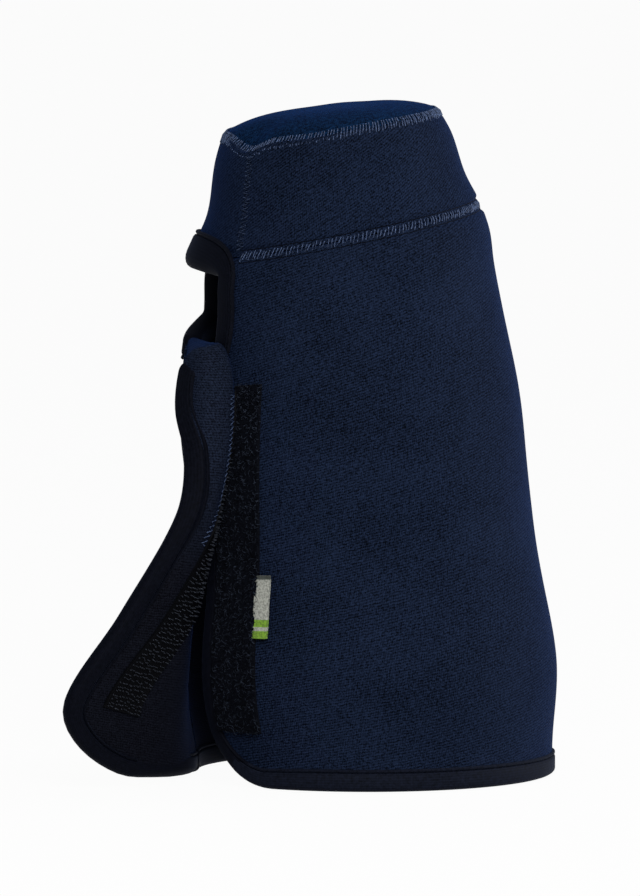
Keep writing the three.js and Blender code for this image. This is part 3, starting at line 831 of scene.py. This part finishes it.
def mouth_path():
    """Edge of window, slit and hem in one run: places, outward directions, lip and nose stretch."""
    side = np.linspace(WINDOW_SILL + 0.5, window_spring, 30)
    turn = np.linspace(0, math.pi, 80)[1:-1]
    slit = body_heights()[::-1]
    slit = slit[slit <= window_spring]
    hem = np.linspace(float(slit_right_angle(np.array(HEM_EDGE))), 360 + SLIT_LEFT, 150)[1:]
    arch = window_middle - window_half * np.cos(turn)
    angle = np.concatenate([slit_left_angle(side), arch, slit_right_angle(slit), hem])
    rise = window_spring + WINDOW_RISE * np.sin(turn)
    height = np.concatenate([side, rise, slit, np.full(hem.shape, HEM_EDGE)])
    round_wall = wall_middle(angle + 1, height) - wall_middle(angle - 1, height)
    up_wall = wall_middle(angle, height + 6) - wall_middle(angle, height)
    out = unit(np.cross(round_wall, up_wall))
    wide = smooth(height, WINDOW_SILL - 14, WINDOW_SILL + 6)
    along_hem = np.where(height <= HEM_EDGE, smooth(angle, *HEM_WIDENS), 0)
    lip = 1 + (WINDOW_BINDING_DEPTH / BINDING_DEPTH - 1) * wide
    lip = lip + (HEM_LIP / BINDING_DEPTH - 1) * along_hem
    hood = HOOD_DROP / (TAPE_NOSE + TAPE_WALL)
    nose = 1 + hood * smooth(height, window_spring, window_spring + WINDOW_RISE)
    return wall_middle(angle, height), out, np.stack([lip, nose, nose], axis=1)


def make_mouth_binding():
    path, out, stretch = mouth_path()
    path, out, stretch = resample(path, 520, out, stretch)
    out, away = edge_frames(path, out)
    section = tape_section(NEOPRENE, BINDING_DEPTH)
    tape = sweep_object("mouth_binding", path, out, away, section, stretch[:, 0], stretch[:, 1])
    dress(tape, TAPE, nodes=["slit_binding", "hem_binding", "window_binding"])
    tape.data.materials.append(HEM_TAPE_PAINTED_LIGHT)
    # Faces below the hem band take the lighter copy of the tape, which is painted light
    for face in tape.data.polygons:
        face.material_index = int(face.center.z < HEM_BAND * MM)


# Flap and lapel as one bent sheet


def flap_control(index):
    """Plan points of the flap's section by height: on the wall, at the fold, outside it, at the edge."""
    table = [
        (4, (-63, -22), (-69.5, -34), (-86, -48), (-101.5, -59)),
        (27, (-63.5, -23), (-66.5, -38), (-83, -51), (-102.2, -63)),
        (41, (-64, -24), (-64.5, -41), (-79, -52.5), (-97.6, -63)),
        (65, (-64, -25), (-61.2, -44), (-69.5, -53.5), (-83, -60.5)),
        (100, (-58.5, -31), (-53.6, -51), (-58.5, -56.5), (-64.1, -57)),
        (120, (-57, -32), (-49.5, -48.5), (-54.5, -53.5), (-61.2, -51)),
        (137, (-55.7, -32.7), (-48.1, -46.5), (-55, -51.5), (-64, -43)),
        (150, (-55.2, -32), (-49, -45), (-55.5, -49.5), (-63, -41.5)),
        (162, (-55.2, -29), (-53.6, -41), (-56.5, -45), (-59.5, -42.5)),
    ]
    across = through_stations([(row[0], row[index][0]) for row in table])
    deep = through_stations([(row[0], row[index][1]) for row in table])
    return lambda height: np.stack([across(height), deep(height)], axis=-1)


flap_points = [flap_control(i) for i in (1, 2, 3, 4)]


def flap_section(height, count=90):
    """Even points along the flap's mid line in one ring plane, and its length."""
    height = np.array(height)
    lean = np.array([float(along_axis(height, NECK_LEAN, CROWN_LEAN)), 0])
    radius = float(body_radius(height) - side_dent(FLAP_ROOT, height)) - NEOPRENE / 2
    turn = math.radians(FLAP_ROOT)
    root = radius * np.array([math.cos(turn), math.sin(turn)])
    points = np.array([root] + [f(height) - lean for f in flap_points])
    places = lengths_along(points)
    even = np.linspace(0, places[-1], count)
    line = np.stack(
        [through_stations(list(zip(places, points[:, k])))(even) for k in (0, 1)],
        axis=-1,
    )
    return line, lengths_along(line)


def flap_rows():
    low = FLAP_CORNER * (1 - np.cos(np.linspace(0, math.pi / 2, 12)))
    high = FLAP_HEAD_CORNER * (1 - np.cos(np.linspace(0, math.pi / 2, 8)))
    foot, head = FLAP_FOOT + low, FLAP_HEAD - high[::-1]
    return np.concatenate([foot, np.linspace(foot[-1], head[0], 70)[1:-1], head])


def flap_place(height, reach):
    """Points on the flap's mid surface at distances from the root, in mm along the cloth."""
    line, along = flap_section(height)
    across = np.interp(reach, along, line[:, 0])
    deep = np.interp(reach, along, line[:, 1])
    low = 1 - smooth(height, FLAP_FOOT, FLAP_FOOT + FLAP_LIFT_REACH)
    lift = FLAP_LIFT * low * (reach / along[-1]) ** 2
    return ring_place(across, deep, height + lift)


def flap_width(height):
    whole = flap_section(height)[1][-1]
    foot = float(corner_inset(np.array(height - FLAP_FOOT), FLAP_CORNER))
    head = float(corner_inset(np.array(FLAP_HEAD - height), FLAP_HEAD_CORNER))
    return whole - foot - head


def flap_grid(columns=60):
    heights = flap_rows()
    widths = np.array([flap_width(h) for h in heights])
    grid = np.array([flap_place(h, np.linspace(0, w, columns)) for h, w in zip(heights, widths)])
    reach = np.linspace(0, 1, columns)[None, :] * widths[:, None]
    uv = np.stack([reach, np.broadcast_to(heights[:, None], reach.shape)], axis=-1)
    return grid, uv


def sheet_normals(grid):
    return unit(np.cross(np.gradient(grid, axis=1), np.gradient(grid, axis=0)))


def bend_with_flap(piece):
    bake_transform(piece)


def make_flap():
    grid, uv = flap_grid()
    out = sheet_normals(grid)
    below_head = np.clip((FLAP_HEAD - flap_rows()) / FLAP_HEAD_ROUND, 0, 1)
    rounding = 0.15 + 0.85 * np.sqrt(1 - (1 - below_head) ** 2)
    thick = FLAP_NEOPRENE / 2 * rounding[:, None, None]
    piece = sheet_object("flap_sheet", grid + thick * out, grid - thick * out, uv)
    dress(piece, NAVY, body=None, nodes=["flap_panel", "lapel_panel", "lapel_margin"])
    line_inside(piece, len(grid), grid.shape[1] - 1)
    bend_with_flap(piece)
    return piece, grid, out


def make_flap_binding(grid, out):
    """Tape along the flap's foot and free edge, up to just below its head."""

    def edge(values):
        return np.concatenate([values[0, 2:], values[1:-6, -1]])

    path, normal = resample(edge(grid), 260, edge(out))
    normal, away = edge_frames(path, normal)
    wide = smooth(path[:, 2], *STRAP_WIDENS)
    lip = 1 + (WINDOW_BINDING_DEPTH / BINDING_DEPTH - 1) * wide
    section = tape_section(FLAP_NEOPRENE, BINDING_DEPTH)
    tape = sweep_object("flap_edge", path, normal, away, section, lip)
    dress(tape, TAPE, body=None, nodes=["flap_binding", "lapel_binding"])
    bend_with_flap(tape)
    return tape


# Distance of the hook tape from the flap's edge by height: it slips behind the crest higher up
hook_margin = through_stations([(20, 11), (60, 14), (100, 14), (120, 15.5), (137, 22), (150, 22)])


def hook_place(height, share):
    """Point of the hook tape, whose rows slope down towards the fold near its foot."""
    height = height + HOOK_SLOPE * (share - 0.5) * (1 - smooth(height, HOOK_FOOT, HOOK_HEAD))
    whole = flap_section(height)[1][-1]
    return flap_place(height, whole - float(hook_margin(height)) - HOOK_WIDTH * (1 - share))


def hook_band(height, shares):
    return np.array([hook_place(height, share) for share in shares])


HOOK_GROUND = 0.7
HOOK_ROW, HOOK_COLUMNS = 1.6, 10
CREST_STEP = 0.9


def make_hook_ground():
    heights = np.linspace(HOOK_FOOT, HOOK_HEAD, 80)
    share = np.linspace(0, 1, 18)
    grid = np.array([hook_band(h, share) for h in heights])
    inward = -sheet_normals(grid)
    base = FLAP_NEOPRENE / 2
    uv = np.stack(np.meshgrid(share * HOOK_WIDTH, heights), axis=-1)
    sunk, face = grid + (base - 0.3) * inward, grid + (base + HOOK_GROUND) * inward
    piece = sheet_object("hook_ground", sunk, face, uv)
    dress(piece, HOOK, body=None, nodes=["hook_tape"])
    bend_with_flap(piece)
    return piece


def make_hook_stitches():
    """One thread that steps from side to side along the crest of the strap."""
    steps = np.arange(CREST_FOOT, HOOK_HEAD, CREST_STEP)
    sew = np.array([hook_band(h, [1.0, 1.04 + 0.16 * (i % 2), 1.3]) for i, h in enumerate(steps)])
    path = (sew - sheet_normals(sew) * (FLAP_NEOPRENE / 2 + 0.45))[:, 1]
    piece = dress(tubes_object("hook_stitches", [path], 0.2, 4), THREAD, body=None)
    bend_with_flap(piece)
    return piece


def make_hooks():
    """Rows of small bent hooks that lean to either side in turn."""
    rows = np.arange(HOOK_FOOT + 1, HOOK_HEAD - 1, HOOK_ROW)
    seats = np.array([hook_band(h, np.linspace(0.07, 0.93, HOOK_COLUMNS)) for h in rows])
    up = -sheet_normals(seats)
    lean = unit(np.gradient(seats, axis=1))
    run = unit(np.gradient(seats, axis=0))
    rise = np.array([0.0, 0.7, 1.15, 1.0])
    swing = np.array([-0.4, -0.2, 0.3, 1.0])
    hooks = []
    for r in range(seats.shape[0]):
        for c in range(seats.shape[1]):
            foot = seats[r, c] + up[r, c] * (FLAP_NEOPRENE / 2 + 0.6)
            foot = foot + lean[r, c] * rng.uniform(-0.3, 0.3) + run[r, c] * rng.uniform(-0.5, 0.5)
            tip = lean[r, c] * (0.5 if c % 2 else -0.5) * rng.uniform(0.6, 1.1)
            hooks.append(foot + rise[:, None] * up[r, c] + swing[:, None] * tip)
    piece = dress(tubes_object("hooks", hooks, 0.17, 4), HOOK_TIPS_PAINTED_HIGHLIGHT, body=None)
    bend_with_flap(piece)
    return piece


# Loop tape and tab on the body

LOOP_GROUND = 1.5
LOOP_CURLS = 4600


def loop_left(height):
    return SLIT_RIGHT + angle_for(BINDING_DEPTH + TAPE_GAP, height)


def make_loop_ground():
    height = np.linspace(LOOP_FOOT, LOOP_HEAD, 90)[:, None]
    share = np.linspace(0, 1, 22)[None, :]
    angle = loop_left(height) + angle_for(TAPE_WIDTH, height) * share
    height = np.broadcast_to(height, angle.shape)
    surface = body_surface(angle, height)
    lumps = 0.25 * rng.random(angle.shape)
    outer = on_ring(angle, height, surface + LOOP_GROUND + lumps)
    inner = on_ring(angle, height, surface - 0.3)
    uv = np.stack([share * TAPE_WIDTH + 0 * height, height], axis=-1)
    dress(sheet_object("loop_ground", outer, inner, uv), LOOP, nodes=["loop_tape"])


def make_loop_stitches():
    """Short threads down the tape's right side, some of them hidden in the pile."""
    stand = LOOP_GROUND + np.array([0.05, 0.4, 0.05])
    sewn = []
    for foot in np.arange(LOOP_FOOT + 1, LOOP_HEAD - 2, 2.3):
        where = foot + np.array([0.0, 0.7, 1.4])
        at = loop_left(where) + angle_for(TAPE_WIDTH - 0.7 + rng.uniform(-0.2, 0.2), where)
        if rng.random() < 0.6:
            sewn.append(on_ring(at, where, body_surface(at, where) + stand))
    # These threads take the pale colour that has the loops' glint painted in
    dress(tubes_object("loop_stitches", sewn, 0.13, 4), FUZZ_GLINT)


def make_loop_curls():
    """Small arcs of fibre in every direction, each third one pale, a painted glint of the nylon loops.
    """
    turn = np.linspace(-0.4, math.pi + 0.4, 5)
    dark, pale = [], []
    for i in range(LOOP_CURLS):
        h = rng.uniform(LOOP_FOOT - 0.2, LOOP_HEAD + 0.3)
        across = rng.uniform(-0.1, TAPE_WIDTH + 0.2)
        heading = rng.uniform(0, 2 * math.pi)
        size = rng.uniform(0.4, 0.9)
        swing = size * np.cos(turn)
        rise = LOOP_GROUND - 0.1 + size * np.sin(turn)
        where = h + swing * math.sin(heading)
        at = loop_left(where) + angle_for(across + swing * math.cos(heading), where)
        curl = on_ring(at, where, body_surface(at, where) + rise)
        if i % 3 == 0:
            pale.append(curl)
        else:
            dark.append(curl)
    dress(tubes_object("loop_pile_curls", dark, 0.09, 3), LOOP)
    dress(tubes_object("loop_glint_curls", pale, 0.09, 3), FUZZ_GLINT)


def make_tab():
    """Short ribbon folded double, its fold standing a little off the wall."""
    height = np.linspace(TAB_FOOT, TAB_FOOT + TAB_HEIGHT, 24)[:, None]
    share = np.linspace(0, 1, 14)[None, :]
    reach = BINDING_DEPTH + TAPE_GAP + TAPE_WIDTH - 0.6 + TAB_LENGTH * share
    angle = SLIT_RIGHT + angle_for(reach, height)
    height = np.broadcast_to(height, angle.shape)
    stand = 0.5 + 0.8 * share + 0.15 * np.sin(0.5 * height)
    surface = body_surface(angle, height) + stand
    outer = on_ring(angle, height, surface + 1.1)
    inner = on_ring(angle, height, surface)
    uv = np.stack([share * TAB_LENGTH + 0 * height, height - TAB_FOOT], axis=-1)
    dress(sheet_object("tab_ribbon", outer, inner, uv), RIBBON, nodes=["side_tab"])


# Floor, light and camera

FLOOR_SIZE = 14.0
FLOOR_GLOW = 0.96
# Strength of the room's light on the left and on the right
WORLD_LIGHT = (0.11, 0.31)
LIGHT_AIM = (0.0, 0.0, 0.11)


def pale_floor():
    """Grey paint that looks nearly white to the eye and in mirrors, and keeps a trace of its shadow."""
    paint = bpy.data.materials.new("pale_floor")
    paint.use_nodes = True
    nodes, links = paint.node_tree.nodes, paint.node_tree.links
    main = nodes["Principled BSDF"]
    main.inputs["Base Color"].default_value = (0.5, 0.5, 0.5, 1)
    main.inputs["Roughness"].default_value = 0.8
    glow = nodes.new("ShaderNodeEmission")
    glow.inputs["Color"].default_value = (1, 1, 1, 1)
    rays = nodes.new("ShaderNodeLightPath").outputs
    seen = rays["Is Camera Ray"]
    for kind in ("Is Glossy Ray", "Is Transmission Ray"):
        either = nodes.new("ShaderNodeMath")
        either.operation = "MAXIMUM"
        links.new(seen, either.inputs[0])
        links.new(rays[kind], either.inputs[1])
        seen = either.outputs[0]
    share = nodes.new("ShaderNodeMath")
    share.operation = "MULTIPLY"
    share.inputs[1].default_value = FLOOR_GLOW
    links.new(seen, share.inputs[0])
    mix = nodes.new("ShaderNodeMixShader")
    links.new(share.outputs[0], mix.inputs["Fac"])
    links.new(main.outputs[0], mix.inputs[1])
    links.new(glow.outputs[0], mix.inputs[2])
    links.new(mix.outputs[0], nodes["Material Output"].inputs["Surface"])
    return paint


def make_stage():
    size = FLOOR_SIZE
    mesh = bpy.data.meshes.new("floor")
    corners = [(-size, -size, 0), (size, -size, 0), (size, size, 0), (-size, size, 0)]
    mesh.from_pydata(corners, [], [(0, 1, 2, 3)])
    mesh.materials.append(pale_floor())
    floor = bpy.data.objects.new("floor", mesh)
    bpy.context.scene.collection.objects.link(floor)


def aim_at(place, target):
    return (Vector(target) - Vector(place)).to_track_quat("-Z", "Y").to_euler()


def softbox(name, place, size, power):
    light = bpy.data.lights.new(name, "AREA")
    light.shape = "RECTANGLE"
    light.size, light.size_y = size
    light.energy = power
    lamp = bpy.data.objects.new(name, light)
    lamp.location = place
    lamp.rotation_euler = aim_at(place, LIGHT_AIM)
    bpy.context.scene.collection.objects.link(lamp)


def make_light():
    world = bpy.data.worlds.new("studio")
    world.use_nodes = True
    nodes, links = world.node_tree.nodes, world.node_tree.links
    nodes["Background"].inputs["Color"].default_value = (1, 1, 1, 1)
    split = nodes.new("ShaderNodeSeparateXYZ")
    links.new(nodes.new("ShaderNodeTexCoord").outputs["Generated"], split.inputs[0])
    fade = nodes.new("ShaderNodeMapRange")
    for socket, value in zip(fade.inputs[1:5], (-1.0, 1.0, *WORLD_LIGHT)):
        socket.default_value = value
    links.new(split.outputs["X"], fade.inputs["Value"])
    links.new(fade.outputs["Result"], nodes["Background"].inputs["Strength"])
    bpy.context.scene.world = world
    softbox("key", place=(0.15, -1.15, 0.75), size=(0.7, 0.7), power=18)
    softbox("top", place=(0.1, 0.2, 1.3), size=(0.8, 0.8), power=4)
    softbox("rim", place=(1.1, 0.3, 0.4), size=(0.4, 0.8), power=10)


CAMERA_TILT = 5.2
CAMERA_DISTANCE = 6.0
CAMERA_FOCAL_LENGTH, CAMERA_SENSOR = 701, 36
CAMERA_AIM = (0.0036, 0.0, 0.1124)


def make_camera():
    camera = bpy.data.cameras.new("camera")
    camera.lens = CAMERA_FOCAL_LENGTH
    camera.sensor_width = CAMERA_SENSOR
    eye = bpy.data.objects.new("camera", camera)
    tilt = math.radians(CAMERA_TILT)
    eye.location = (
        CAMERA_AIM[0],
        CAMERA_AIM[1] - CAMERA_DISTANCE * math.cos(tilt),
        CAMERA_AIM[2] + CAMERA_DISTANCE * math.sin(tilt),
    )
    eye.rotation_euler = aim_at(eye.location, CAMERA_AIM)
    bpy.context.scene.collection.objects.link(eye)
    bpy.context.scene.camera = eye


make_camera()
make_stage()
make_light()
make_body()
make_collar()
make_crown()
make_neck_stitches()
make_crown_stitches()
make_collar_stitches()
make_mouth_binding()
flap, flap_mid, flap_out = make_flap()
on_flap = [
    make_flap_binding(flap_mid, flap_out),
    make_hook_ground(),
    make_hook_stitches(),
    make_hooks(),
]
make_loop_ground()
make_loop_stitches()
make_loop_curls()
make_tab()

bpy.context.scene.view_settings.view_transform = "Standard"
